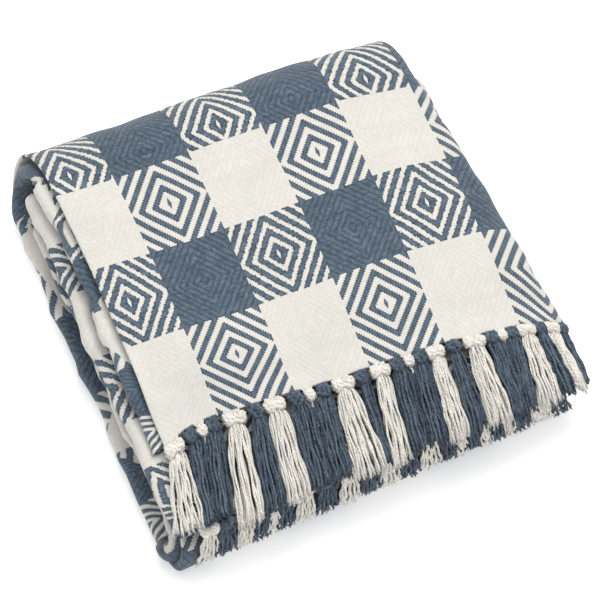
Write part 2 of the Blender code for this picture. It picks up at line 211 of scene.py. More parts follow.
# Which stripes along and across show at places on the rolled left folds, where the
# cloth lies a little askew
LEFT_TOP_STRIPES = named_rows("y along across", (
    (0.000, -0.05, 11.60), (0.042, 1.0, 11.65), (0.100, 2.0, 11.80), (0.138, 2.5, 12.00),
    (0.156, 2.75, 12.12), (0.174, 3.0, 12.00), (0.200, 3.4, 11.70), (0.240, 4.0, 11.52),
    (0.278, 4.4, 11.20), (0.300, 4.6, 10.88), (0.340, 5.0, 10.80),
))
LEFT_BOTTOM_STRIPES = named_rows("y along across", (
    (-0.0495, 11.1, 11.40), (-0.045, 11.0, 11.38), (-0.010, 10.0, 11.30), (0.030, 9.4, 11.20),
    (0.054, 9.0, 11.00), (0.066, 8.85, 10.90), (0.079, 8.7, 11.00), (0.129, 8.0, 11.25),
    (0.200, 7.3, 11.30), (0.229, 7.0, 11.20), (0.300, 6.4, 11.00), (0.340, 6.0, 10.86),
))
LEFT_SECOND_STRIPES = named_rows("y along across", (
    (-0.073, 19.95, 11.25), (-0.055, 19.7, 11.00), (-0.030, 19.3, 10.70), (-0.005, 19.0, 10.55),
    (0.049, 18.0, 10.50), (0.134, 17.0, 10.50), (0.216, 16.0, 10.50), (0.276, 15.0, 10.50),
    (0.327, 14.4, 10.50),
))

# The slow waves through the whole stack and the small ones all over the cloth: how
# high each is, how fast it goes along x and y, and where it starts
STACK_WAVES = named_rows("high x y start", (
    (0.0016, 17.0, 9.0, 0.6), (0.0011, -11.0, 23.0, 2.1), (0.0007, 37.0, 14.0, 4.0),
))
CLOTH_WAVES = named_rows("high x y start", (
    (0.0005, 61.0, 23.0, 1.0), (0.0004, -29.0, 83.0, 0.0),
    (0.0003, 140.0, -60.0, 2.0), (0.0003, 90.0, 150.0, 0.0),
))

# How far in from the left the rolled folds reach, how far the top one bulges to the
# left, and the lumps along them: how high, how fast along y, and how other runs differ
ROLL_REACH = 0.11
TOP_ROLL_LEFT = 0.0085
ROLL_LUMPS = named_rows("high y run", ((0.0016, 33.0, 2.0), (0.0013, 71.0, 3.1), (0.0007, 163.0, 1.7)))


def ease(value):
    """0 below 0 and 1 above 1, with a smooth rise between them."""
    value = np.clip(value, 0.0, 1.0)
    return value * value * (3.0 - 2.0 * value)


def blend(first, second, share):
    """The value a share of the way from the first to the second."""
    return first + (second - first) * share


def waves(table, x, y):
    """The waves of one table, added up."""
    return sum(row["high"] * np.sin(row["x"] * x + row["y"] * y + row["start"]) for row in table)


def settle(x, y, z, top_share):
    """Moves points of the neat stack to where the soft stack sags and leans."""
    height = z / STACK_TOP
    # The stack sinks toward its right and its back
    right = ease((x - 0.30) / 0.17)
    back = ease((y - 0.05) / 0.30)
    sag = 0.16 * right + 0.08 * right * back
    # The top group hangs down where it reaches past the groups below
    hang = np.maximum(0.0, x - 0.400)
    overhang = top_share * hang * hang * 5.2
    wave = waves(STACK_WAVES, x, y)
    lean_x = 0.0016 * np.sin(14.0 * y + 5.0 * height)
    lean_y = 0.0020 * np.sin(9.0 * x + 3.0 * height + 1.0)
    # The upper fringed edge lies further back, and higher in its middle
    middle = np.maximum(0.0, 1.0 - ((x - 0.235) / 0.22) ** 2)
    fringe = top_share * middle * ease((EDGE_REACH - y) / EDGE_REACH) * ease((y + 0.06) / 0.05)
    front = ease((0.02 - y) / 0.10)
    rise = np.interp(x, [row["x"] for row in EDGE_RISE], [row["back"] for row in EDGE_RISE])
    rise = rise * top_share * ease((EDGE_REACH - y) / EDGE_REACH) * ease((y + 0.090) / 0.055)
    new_x = x + lean_x * height - 0.35 * overhang
    new_y = y + lean_y * height + 0.007 * fringe + rise + (0.033 * x / 0.43 - 0.017) * front
    new_z = z * (1.0 - sag) + wave * height - overhang + 0.009 * fringe
    spots = np.stack((new_x, new_y, new_z + CLOTH_THICK / 2), axis=-1)
    return spots + TO_FRAME


def bend(centre, radius, angle):
    """Y and Z on a fold's half round, at an angle from its top."""
    return centre[0] + radius * math.sin(angle), centre[1] + radius * math.cos(angle)


def length_station(run, share, depth):
    """Y and Z at one place along the length, depth inward from the outer layer.
    The numbers before step are heights and radii in layers."""
    step = LAYER_STEP
    if run == TOP_GROUP:
        y = blend(0.0, BACK_FOLD_Y, share)
        near = 1.0 - ease(y / EDGE_REACH)
        return y, STACK_TOP - UPPER_EDGE_DROP * near - depth * (1.0 - 0.42 * near)
    if run == BACK_FOLD:
        return bend((BACK_FOLD_Y, 5.5 * step), 5.5 * step - depth, math.pi * share)
    if run == BOTTOM_GROUP:
        return blend(BACK_FOLD_Y, FRONT_FOLD_Y, share), depth
    if run == FRONT_FOLD:
        return bend((FRONT_FOLD_Y, 2.5 * step), 2.5 * step - depth, math.pi * (1.0 + share))
    if run == THIRD_GROUP:
        return blend(FRONT_FOLD_Y, INNER_FOLD_Y, share), 5.0 * step - depth
    if run == INNER_FOLD:
        return bend((INNER_FOLD_Y, 5.5 * step), 0.5 * step + depth, math.pi * (1.0 - share))
    y = blend(INNER_FOLD_Y, LOWER_EDGE_Y, share)
    near = 1.0 - ease((y - LOWER_EDGE_Y) / EDGE_REACH)
    return y, 6.0 * step + 0.004 * near + depth * (1.0 - 0.40 * near)


def right_fold_line(run, share):
    """Where the right fold lies, and how far its group is moved to the left."""
    row = LENGTH_RUNS[run]
    first = GROUPS[row["group"]]
    second = GROUPS[row["next"]]
    skewed = first["right_fold"]
    if run == TOP_GROUP:
        skewed += first["right_skew"] * share ** 0.75
    if run == BACK_FOLD:
        skewed += first["right_skew"]
    turn = float(ease(share))
    used = turn if run in (BACK_FOLD, FRONT_FOLD, INNER_FOLD) else 0.0
    return blend(skewed, second["right_fold"], used), blend(first["shift"], second["shift"], turn)


def width_station(run, share, fold_x):
    """X and the depth inward from the outer layer, and the width used so far."""
    step = LAYER_STEP
    back = fold_x + math.pi * step
    rolled = back + fold_x - LEFT_FOLD_X
    used = rolled + 0.5 * math.pi * step
    if run == UPPER_LAYER:
        x = fold_x * (1.0 - (1.0 - share) ** 1.15)
        return x, 0.0, x
    if run == RIGHT_FOLD:
        angle = math.pi * share
        x = fold_x + step * math.sin(angle)
        return x, step * (1.0 - math.cos(angle)), blend(fold_x, back, share)
    if run == LOWER_LAYER:
        x = blend(fold_x, LEFT_FOLD_X, share)
        return x, 2.0 * step, back + fold_x - x
    if run == LEFT_FOLD:
        angle = math.pi * share
        x = LEFT_FOLD_X - 0.5 * step * math.sin(angle)
        return x, step * (1.5 + 0.5 * math.cos(angle)), blend(rolled, used, share)
    x = blend(LEFT_FOLD_X, LEFT_FOLD_X + CLOTH_WIDTH - used, share)
    return x, step, blend(used, CLOTH_WIDTH, share)


def run_stations(runs, ends):
    """The sections of a run of cloth, closer together at its two cut ends."""
    stations = [(0, 0.0)]
    for number, row in runs.items():
        for step in range(1, row["steps"] + 1):
            stations.append((number, step / row["steps"]))
    last = len(runs) - 1
    stations[1:1] = [(0, share) for share in ends]
    stations[-1:-1] = [(last, 1.0 - share) for share in reversed(ends)]
    return stations


def table_value(table, place, column):
    """A table's column at a place between its rows, which are sorted by y."""
    return float(np.interp(place, [row["y"] for row in table], [row[column] for row in table]))


def left_stripes(run, share, y):
    """Which stripes across and along show on the rolled left fold of one run."""
    tables = {TOP_GROUP: LEFT_TOP_STRIPES, BOTTOM_GROUP: LEFT_BOTTOM_STRIPES,
              SECOND_GROUP: LEFT_SECOND_STRIPES}
    if run in tables:
        return table_value(tables[run], y, "across"), table_value(tables[run], y, "along")
    if run == BACK_FOLD:
        twist = 0.36 * float(ease(4.0 * share) * ease(4.0 * (1.0 - share)))
        start = table_value(LEFT_TOP_STRIPES, BACK_FOLD_Y, "across")
        return blend(start, 10.86, share) + twist, blend(5.0, 6.0, share)
    if run == FRONT_FOLD:
        return blend(11.40, 10.50, share), blend(11.1, 12.0, share)
    if run == THIRD_GROUP:
        return 10.50, blend(12.0, 14.2, share)
    return 10.50, blend(14.2, 14.4, share)


def stripe_place(length_run, length_share, width_run, width_share, y, used, fold_x):
    """Which stripe across and which along lies at one place of the cloth, as
    whole numbers at the stripes' borders."""
    if length_run == SECOND_GROUP:
        along = table_value(SECOND_GROUP_STRIPES, y, "along")
    else:
        row = STRIPES_ALONG[length_run]
        along = blend(row["start"], row["end"], length_share)
    # The weft runs a little askew, and the lower groups' layers lie a little turned in
    along += 0.06 * min(used, 0.45)
    turned_in = 0.0 if length_run < BOTTOM_GROUP else 1.0
    if length_run == BOTTOM_GROUP:
        turned_in = length_share
    across = used / STRIPE_ACROSS + FIRST_STRIPE
    across -= 0.64 * turned_in * float(ease((0.7 - used) / 0.3))
    if width_run < LOWER_LAYER:
        return across, along
    # From the top layer's stripes over to those that show on the left fold
    left_across, left_along = left_stripes(length_run, length_share, y)
    rolled = 2.0 * fold_x - LEFT_FOLD_X + math.pi * LAYER_STEP
    askew = left_across - 0.10 - (rolled / STRIPE_ACROSS + FIRST_STRIPE)
    part = float(ease(width_share / 0.6)) if width_run == LOWER_LAYER else 1.0
    return across + askew * part, blend(along, left_along, part)


def sheet_places():
    """The middle surface of the folded sheet as a grid, with its stripe places."""
    lengths = run_stations(LENGTH_RUNS, (0.003, 0.008))
    widths = run_stations(WIDTH_RUNS, (0.002, 0.006))
    shape = (len(lengths), len(widths))
    neat = np.zeros(shape + (3,))
    stripes = np.zeros(shape + (2,))
    top_share = np.zeros(shape)
    upper_face = np.zeros(shape)
    for line, (length_run, length_share) in enumerate(lengths):
        fold_x, shift = right_fold_line(length_run, length_share)
        share = 1.0 if length_run == TOP_GROUP else 0.0
        if length_run == BACK_FOLD:
            share = 1.0 - float(ease(length_share * 1.6))
        for place, (width_run, width_share) in enumerate(widths):
            x, depth, used = width_station(width_run, width_share, fold_x)
            y, z = length_station(length_run, length_share, depth)
            roll = float(ease((ROLL_REACH - x) / ROLL_REACH)) if width_run >= LOWER_LAYER else 0.0
            x -= TOP_ROLL_LEFT * share * roll
            x += roll * sum(lump["high"] * math.sin(lump["y"] * y + lump["run"] * length_run)
                            for lump in ROLL_LUMPS)
            neat[line, place] = (x + shift, y, z)
            stripes[line, place] = stripe_place(length_run, length_share, width_run, width_share,
                                                y, used, fold_x)
            top_share[line, place] = share
            upper_face[line, place] = share * (1.0 if width_run == UPPER_LAYER else 0.0)
    spots = settle(neat[..., 0], neat[..., 1], neat[..., 2], top_share)
    return spots, stripes, neat, upper_face


def grid_normals(spots):
    """The direction square to the sheet at each of its points."""
    along = np.gradient(spots, axis=0)
    across = np.gradient(spots, axis=1)
    normals = np.cross(across, along)
    return normals / np.maximum(np.linalg.norm(normals, axis=-1, keepdims=True), 1e-12)


def edge_share(spots):
    """1 in the cloth and less in the last thread or two at its four edges."""
    lines = np.linalg.norm(np.diff(spots, axis=0), axis=-1)
    places = np.linalg.norm(np.diff(spots, axis=1), axis=-1)
    from_start = np.vstack((np.zeros((1, spots.shape[1])), np.cumsum(lines, axis=0)))
    from_left = np.hstack((np.zeros((spots.shape[0], 1)), np.cumsum(places, axis=1)))
    reach = np.minimum(from_start, from_start[-1:] - from_start)
    reach = np.minimum(reach, np.minimum(from_left, from_left[:, -1:] - from_left))
    part = np.clip(reach / 0.0020, 0.0, 1.0)
    return 0.45 + 0.55 * np.sqrt(1.0 - (1.0 - part) ** 2)


def fuller_share(x, y, z, upper_face):
    """How much thicker the soft left rolls and the front left bottom corner are."""
    rolls = 0.9 * ease((0.012 - x) / 0.016) * ease((0.095 - z) / 0.02)
    corner = ease((-0.022 - y) / 0.030) * ease((0.020 - x) / 0.030) * ease((0.062 - z) / 0.02)
    lumps = 1.3 + 0.6 * np.sin(95.0 * x + 210.0 * z)
    return (rolls + corner * lumps) * (1.0 - upper_face)


def sheet_faces(lines, places):
    """The faces of the sheet's upper side, its lower side and its rim."""
    count = lines * places
    number = np.arange(count).reshape(lines, places)
    a, b = number[:-1, :-1].ravel(), number[:-1, 1:].ravel()
    c, d = number[1:, 1:].ravel(), number[1:, :-1].ravel()
    upper = np.stack((a, b, c, d), axis=1)
    lower = np.stack((d, c, b, a), axis=1) + count
    rim = np.concatenate((number[:, 0], number[-1, 1:], number[-2::-1, -1], number[0, -2::-1]))
    rim = np.stack((rim[:-1], rim[1:], rim[1:] + count, rim[:-1] + count), axis=1)
    return np.vstack((upper, lower, rim))


def make_cloth_mesh():
    """The folded sheet, each point carrying its stripes' places as a map."""
    spots, stripes, neat, upper_face = sheet_places()
    x, y, z = neat[..., 0], neat[..., 1], neat[..., 2]
    normals = grid_normals(spots)
    off_floor = np.clip(spots[..., 2] / 0.02, 0.0, 1.0)
    spots = spots + normals * (waves(CLOTH_WAVES, x, y) * off_floor)[..., None]
    full = 1.0 + fuller_share(x, y, z, upper_face)
    half = CLOTH_THICK / 2 * (edge_share(spots) * full)[..., None]
    upper = spots + normals * half
    lower = spots - normals * half
    points = np.vstack((upper.reshape(-1, 3), lower.reshape(-1, 3)))
    points[:, 2] = np.maximum(points[:, 2], 0.0)
    mesh = bpy.data.meshes.new("cloth_throw")
    mesh.from_pydata(points.tolist(), [], sheet_faces(*spots.shape[:2]).tolist())
    layer = mesh.uv_layers.new(name="stripes")
    corner_points = np.zeros(len(mesh.loops), dtype=np.int64)
    mesh.loops.foreach_get("vertex_index", corner_points)
    flat = np.vstack((stripes.reshape(-1, 2), stripes.reshape(-1, 2)))
    layer.data.foreach_set("uv", flat[corner_points].ravel())
    mesh.polygons.foreach_set("use_smooth", [True] * len(mesh.polygons))
    mesh.validate()
    mesh.update()
    return mesh


class Nodes:
    """A material's nodes, added one after another and linked as they are added."""

    def __init__(self, name):
        self.material = bpy.data.materials.new(name)
        self.material.use_nodes = True
        self.tree = self.material.node_tree
        self.shader = self.tree.nodes["Principled BSDF"]

    def put(self, socket, value):
        if isinstance(value, bpy.types.NodeSocket):
            self.tree.links.new(value, socket)
        else:
            socket.default_value = value

    def math(self, operation, first, second=0.0, third=0.0):
        node = self.tree.nodes.new("ShaderNodeMath")
        node.operation = operation
        for socket, value in zip(node.inputs, (first, second, third)):
            self.put(socket, value)
        return node.outputs[0]

    def mix(self, share, first, second, kind="MIX"):
        node = self.tree.nodes.new("ShaderNodeMix")
        node.data_type = "RGBA"
        node.blend_type = kind
        self.put(node.inputs[0], share)
        self.put(node.inputs[6], first)
        self.put(node.inputs[7], second)
        return node.outputs[2]

    def mix_number(self, share, first, second):
        node = self.tree.nodes.new("ShaderNodeMix")
        node.data_type = "FLOAT"
        self.put(node.inputs[0], share)
        self.put(node.inputs[2], first)
        self.put(node.inputs[3], second)
        return node.outputs[0]

    def times(self, first, second):
        return self.math("MULTIPLY", first, second)

    def plus(self, first, second):
        return self.math("ADD", first, second)

    def minus(self, first, second):
        return self.math("SUBTRACT", first, second)

    def times_plus(self, value, factor, added):
        return self.math("MULTIPLY_ADD", value, factor, added)

    def limit(self, value):
        return self.math("MINIMUM", self.math("MAXIMUM", value, 0.0), 1.0)

    def darken(self, colour, shade):
        return self.mix(1.0, colour, self.vector(shade, shade, shade), "MULTIPLY")

    def noise(self, vector, scale, detail=2.0, roughness=0.5):
        node = self.tree.nodes.new("ShaderNodeTexNoise")
        self.put(node.inputs["Vector"], vector)
        node.inputs["Scale"].default_value = scale
        node.inputs["Detail"].default_value = detail
        node.inputs["Roughness"].default_value = roughness
        return node.outputs[0]

    def chance(self, value):
        node = self.tree.nodes.new("ShaderNodeTexWhiteNoise")
        node.noise_dimensions = "1D"
        self.put(node.inputs["W"], value)
        return node.outputs[0]

    def vector(self, x, y, z=0.0):
        node = self.tree.nodes.new("ShaderNodeCombineXYZ")
        for socket, value in zip(node.inputs, (x, y, z)):
            self.put(socket, value)
        return node.outputs[0]

    def parts(self, vector):
        node = self.tree.nodes.new("ShaderNodeSeparateXYZ")
        self.put(node.inputs[0], vector)
        return node.outputs

    def uv(self, name):
        node = self.tree.nodes.new("ShaderNodeUVMap")
        node.uv_map = name
        return node.outputs[0]

    def place(self):
        return self.tree.nodes.new("ShaderNodeTexCoord").outputs["Object"]

    def bump(self, height, distance, strength, normal=None):
        node = self.tree.nodes.new("ShaderNodeBump")
        self.put(node.inputs["Height"], height)
        node.inputs["Distance"].default_value = distance
        node.inputs["Strength"].default_value = strength
        if normal is not None:
            self.put(node.inputs["Normal"], normal)
        return node.outputs[0]


# The weave: warp threads in a cream and in a blue stripe, weft threads in any, threads
# to a repeat of the twill, each yarn's darkest and lightest colour, and the one row
# of checks whose diamonds lie off its middle
WARPS_CREAM = 50.0
WARPS_BLUE = 44.0
WEFTS = 42.0
REPEAT = 8.0
CREAM_THREADS = ((0.696, 0.670, 0.618, 1.0), (0.753, 0.733, 0.690, 1.0))
BLUE_THREADS = ((0.054, 0.086, 0.124, 1.0), (0.160, 0.214, 0.276, 1.0))
OFF_CENTRE_ROW = 3.0


def count_threads(n):
    """The threads at each place, counted from the cloth's corner and outward from
    the centre of its check, and whether the warp and the weft are blue there."""
    places = n.parts(n.uv("stripes"))
    across, along = places[0], places[1]
    column = n.math("FLOOR", across)
    row = n.math("MAXIMUM", n.math("FLOOR", along), 0.0)
    off_centre = n.math("COMPARE", row, OFF_CENTRE_ROW, 0.1)
    centre = n.minus(0.5, n.times(off_centre, 0.3))
    out_u = n.math("ABSOLUTE", n.minus(n.minus(across, column), 0.5))
    out_v = n.math("ABSOLUTE", n.minus(n.minus(along, row), centre))
    warp_blue = n.math("FLOORED_MODULO", column, 2.0)
    warps = n.mix_number(warp_blue, WARPS_CREAM, WARPS_BLUE)
    return {
        "across": across, "along": along,
        "warp_blue": warp_blue, "weft_blue": n.math("FLOORED_MODULO", row, 2.0),
        "warp": n.times(across, warps), "weft": n.times(along, WEFTS),
        "warp_out": n.times(out_u, warps), "weft_out": n.times(out_v, WEFTS),
    }


def band_distance(n, warp, weft, start, middle):
    """How many threads a place lies from the middle of its band of the twill."""
    away = n.math("FLOORED_MODULO", n.plus(n.plus(warp, weft), start), REPEAT)
    away = n.math("ABSOLUTE", n.minus(away, middle))
    return n.math("MINIMUM", away, n.minus(REPEAT, away))


def warp_on_top(n, spot, stepped, smooth):
    """1 where the warp lies over the weft, with a slit at each check's centre."""
    stray = n.minus(n.noise(n.vector(spot["warp"], spot["weft"], 9.0), 0.8, 2.0), 0.5)
    away = n.plus(n.mix_number(0.15, stepped, smooth), n.times(stray, 1.2))
    reach = n.times_plus(spot["weft_blue"], -0.48, 2.05)
    warp_up = n.math("LESS_THAN", away, reach)
    out = n.plus(n.math("FLOOR", spot["warp_out"]), n.math("FLOOR", spot["weft_out"]))
    middle = n.math("LESS_THAN", out, 3.5)
    slit = n.plus(n.times(spot["warp_out"], 2.2), n.times(spot["weft_out"], 0.85))
    return n.mix_number(middle, warp_up, n.math("LESS_THAN", slit, 2.5))


def thread_height(n, own, other, start):
    """A thread's round top, higher where it floats over the threads that cross it."""
    run = n.plus(n.plus(n.math("FLOOR", own), other), start)
    run = n.math("FLOORED_MODULO", run, REPEAT)
    arch = n.math("MAXIMUM", n.math("SINE", n.times(run, 2.0 * math.pi / REPEAT)), 0.0)
    top = n.math("SQRT", n.math("SINE", n.times(n.math("FRACT", own), math.pi)))
    return n.times(top, n.times_plus(arch, 0.55, 0.45))


def thread_tone(n, spot, warp_up):
    """Each thread's own tone, and the streaks that run along it."""
    warp_tone = n.chance(n.math("FLOOR", spot["warp"]))
    weft_tone = n.chance(n.plus(n.math("FLOOR", spot["weft"]), 0.37))
    warp_place = n.vector(spot["warp"], n.times(spot["along"], 12.0))
    weft_place = n.vector(n.times(spot["across"], 12.0), spot["weft"], 4.0)
    streak = n.mix_number(warp_up, n.noise(weft_place, 0.9, 3.0), n.noise(warp_place, 0.9, 3.0))
    streak = n.times_plus(n.minus(streak, 0.5), 2.2, 0.5)
    return n.mix_number(warp_up, weft_tone, warp_tone), n.limit(streak)


def weave_tone_and_painted_shade(n, blue, tone, height, band):
    """How light the cloth is: its own tone from thread to thread, in its grain and in wide
    soft clouds, and painted shade where threads dip under others and in the furrows between
    the twill's bands. The blue threads differ more than the cream ones."""
    swing = n.mix_number(blue, 0.06, 0.15)
    shade = n.plus(n.times(n.minus(tone, 0.5), swing), 0.98)
    # Painted shade: each thread darker toward where it dips under the threads that cross it
    painted_relief_depth = n.mix_number(blue, 0.06, 0.30)
    raised = n.plus(n.times(height, painted_relief_depth), n.minus(1.05, painted_relief_depth))
    shade = n.times(shade, raised)
    # Painted shade in the furrows between the twill's bands, deep on blue and faint on cream
    painted_groove_shade = n.mix_number(band, n.mix_number(blue, 0.97, 0.60), 1.0)
    shade = n.times(shade, painted_groove_shade)
    grain = n.noise(n.place(), 620.0, 2.0, 0.6)
    grain = n.times_plus(grain, n.mix_number(blue, 0.05, 0.34), n.mix_number(blue, 0.975, 0.83))
    shade = n.times(shade, grain)
    cloud = n.noise(n.place(), 22.0, 3.0)
    return n.times(shade, n.times_plus(cloud, 0.16, 0.92))


def make_check_material():
    """The diamond twill: eight threads to a repeat, turned about in each check."""
    n = Nodes("check_twill")
    spot = count_threads(n)
    warp_out, weft_out = spot["warp_out"], spot["weft_out"]
    stepped = band_distance(n, n.math("FLOOR", warp_out), n.math("FLOOR", weft_out), 2.0, 1.5)
    smooth = band_distance(n, warp_out, weft_out, 1.5, 2.0)
    warp_up = warp_on_top(n, spot, stepped, smooth)
    height = n.mix_number(warp_up, thread_height(n, weft_out, warp_out, 6.0),
                          thread_height(n, warp_out, weft_out, 2.0))
    blue = n.mix_number(warp_up, spot["weft_blue"], spot["warp_blue"])
    band = n.math("ABSOLUTE", n.minus(n.mix_number(0.5, stepped, smooth), 2.0))
    band = n.math("MINIMUM", band, 1.0)
    tone, streak = thread_tone(n, spot, warp_up)
    colour = n.mix(blue, n.mix(streak, *CREAM_THREADS), n.mix(streak, *BLUE_THREADS))
    # The cloth's own colours, darkened by their own tones and by painted shade on the weave
    colour = n.darken(colour, weave_tone_and_painted_shade(n, blue, tone, height, band))
    n.put(n.shader.inputs["Base Color"], colour)
    normal = n.bump(n.noise(n.place(), 1400.0, 2.0, 0.7), 0.0004, 0.5)
    height = n.times_plus(height, 0.5, n.times(n.math("SQRT", band), 0.7))
    height = n.times(height, n.mix_number(blue, 0.26, 0.80))
    n.put(n.shader.inputs["Normal"], n.bump(height, 0.0010, 0.8, normal))
    n.shader.inputs["Roughness"].default_value = 0.93
    n.shader.inputs["Specular IOR Level"].default_value = 0.25
    n.shader.inputs["Sheen Weight"].default_value = 0.22
    n.shader.inputs["Sheen Roughness"].default_value = 0.5
    return n.material


cloth = bpy.data.objects.new("cloth_throw", make_cloth_mesh())
bpy.context.scene.collection.objects.link(cloth)
cloth.data.materials.append(make_check_material())
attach(cloth, "root")
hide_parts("cloth")


# THE TASSELS
# The warp ends past both short edges are drawn together, a bundle at a time, into
# a knot close against the edge, and hang from it as loose twisted strands that
# fray at their tips. The bundles follow the warp stripes' yarns, cream and blue.

# Each upper tassel: its knot's place along the edge, its size, how far its strands
# reach along the drape, between which places its tips lie, and how high they lie.
# Root and toward, where given, are a bundle's half width below its knot and its
# shift to one side there.
UPPER_KNOTS = named_rows("x size reach left right lift root toward", (
    (0.0090, 1.00, 0.66, -0.0290, 0.0090, 0.0016),
    (0.0302, 0.85, 0.68, 0.0050, 0.0222, 0.0, 0.0104, 0.0026),
    (0.0431, 0.50, 0.20, 0.0375, 0.0415, -0.0080),
    (0.0555, 0.80, 0.67, 0.0229, 0.0400, 0.0, 0.0100, -0.0017),
    (0.0787, 1.10, 0.81, 0.0385, 0.0725, 0.0018),
    (0.1021, 0.95, 0.78, 0.0695, 0.0965, 0.0),
    (0.1229, 1.00, 0.80, 0.0955, 0.1255, 0.0016, 0.0095, 0.0012),
    (0.1470, 1.00, 0.75, 0.1245, 0.1497, 0.0, 0.0126, 0.0020),
    (0.1618, 0.55, 0.20, 0.1570, 0.1610, -0.0080),
    (0.1770, 0.90, 0.76, 0.1502, 0.1730, 0.0, 0.0115, -0.0034),
    (0.1988, 1.10, 0.81, 0.1715, 0.2120, 0.0020),
    (0.2201, 0.85, 0.78, 0.2090, 0.2185, -0.0004),
    (0.2401, 0.95, 0.82, 0.2160, 0.2375, 0.0016),
    (0.2600, 0.90, 0.79, 0.2390, 0.2604, 0.0, 0.0100, 0.0018),
    (0.2726, 0.50, 0.20, 0.2690, 0.2730, -0.0080),
    (0.2856, 0.85, 0.81, 0.2606, 0.2830, 0.0, 0.0098, -0.0017),
    (0.3022, 0.85, 0.84, 0.2825, 0.3055, 0.0014),
    (0.3233, 0.95, 0.84, 0.3045, 0.3265, 0.0),
    (0.3457, 1.10, 0.85, 0.3260, 0.3575, 0.0018),
    (0.3656, 0.80, 0.84, 0.3560, 0.3720, 0.0, 0.0105, 0.0020),
    (0.3770, 0.50, 0.20, 0.3745, 0.3785, -0.0080),
    (0.3884, 0.75, 0.83, 0.3700, 0.3850, 0.0, 0.0090, -0.0025),
    (0.4038, 0.90, 0.84, 0.3860, 0.4135, 0.0014),
    (0.4201, 0.80, 0.82, 0.4145, 0.4320, 0.0),
    (0.4345, 0.75, 0.80, 0.4330, 0.4470, 0.0010),
    (0.4482, 0.70, 0.74, 0.4460, 0.4530, 0.0),
))

# The lower tassels, which show only below the tips of the upper ones
LOWER_KNOTS = named_rows("x size", (
    (0.0110, 0.95), (0.0310, 1.00), (0.0530, 0.90), (0.0718, 0.90), (0.0846, 0.50), (0.0974, 0.90),
    (0.1200, 1.00), (0.1450, 1.00), (0.1700, 1.00), (0.1940, 0.95), (0.2165, 0.90), (0.2390, 0.95),
    (0.2625, 1.00), (0.2850, 0.95), (0.2985, 0.50), (0.3120, 0.95), (0.3255, 0.50), (0.3390, 0.90),
    (0.3525, 0.50), (0.3660, 0.90), (0.3880, 1.00), (0.4100, 0.95),
))

# The lines that the strands follow, by the share of a full strand from its knot
UPPER_DRAPE = named_rows("share y z", (
    (0.00, -0.0140, 0.0985), (0.32, -0.0440, 0.0932), (0.67, -0.0780, 0.0885),
    (0.83, -0.0905, 0.0755), (1.00, -0.0930, 0.0580),
))
LOWER_DRAPE = named_rows("share y z", (
    (0.00, -0.0815, 0.0670), (0.45, -0.0845, 0.0380), (1.00, -0.0800, 0.0120),
))

# What the two rows differ in. Top share is how far a row moves with the top group,
# deep is a bundle's half thickness, and raised is its middle's rise as a share of it.
UPPER_ROW = {
    "drape": UPPER_DRAPE, "top_share": 1.0, "strands": 31, "sections": 26, "sides": 6,
    "knot_y": -0.0080, "knot_z": 0.1032, "edge_y": 0.0005,
    "edge_z": 0.1028, "deep": 0.0068, "raised": 0.10,
}
LOWER_ROW = {
    "drape": LOWER_DRAPE, "top_share": 0.0, "strands": 22, "sections": 14, "sides": 5,
    "knot_y": LOWER_EDGE_Y - 0.0058, "knot_z": 0.0765, "edge_y": LOWER_EDGE_Y + 0.0005,
    "edge_z": 0.0815, "deep": 0.0024, "raised": 0.0,
}

# Each yarn's darkest and lightest colour
CREAM_YARN = ((0.76, 0.715, 0.65, 1.0), (1.0, 0.975, 0.92, 1.0))
BLUE_YARN = ((0.014, 0.026, 0.043, 1.0), (0.180, 0.235, 0.298, 1.0))

# A strand and a warp end between edge and knot, how far apart the ends leave the
# edge, and the turn from one strand to the next that fills a round bundle evenly
YARN_RADIUS = 0.00114
END_RADIUS = 0.00112
END_STEP = 0.0021
EVEN_TURN = 2.39996

# The yarns' map: its units to a metre of yarn, and from one strand to the next
MAP_PER_METRE = 20.0
MAP_PER_STRAND = 10.0


def smooth_path(points, count):
    """A smooth curve through points, as count places evenly spread along it."""
    points = np.array(points, dtype=float)
    padded = np.vstack((2 * points[0] - points[1], points, 2 * points[-1] - points[-2]))
    part = np.linspace(0.0, 1.0, 10, endpoint=False)[:, None]
    places = []
    for number in range(len(points) - 1):
        a, b, c, d = padded[number:number + 4]
        places.append(0.5 * (2 * b + (c - a) * part + (2 * a - 5 * b + 4 * c - d) * part ** 2
                             + (3 * b - a - 3 * c + d) * part ** 3))
    places.append(points[-1:])
    places = np.vstack(places)
    lengths = np.concatenate(([0.0], np.cumsum(np.linalg.norm(np.diff(places, axis=0), axis=1))))
    wanted = np.linspace(0.0, lengths[-1], count)
    return np.stack([np.interp(wanted, lengths, places[:, axis]) for axis in range(3)], axis=1)


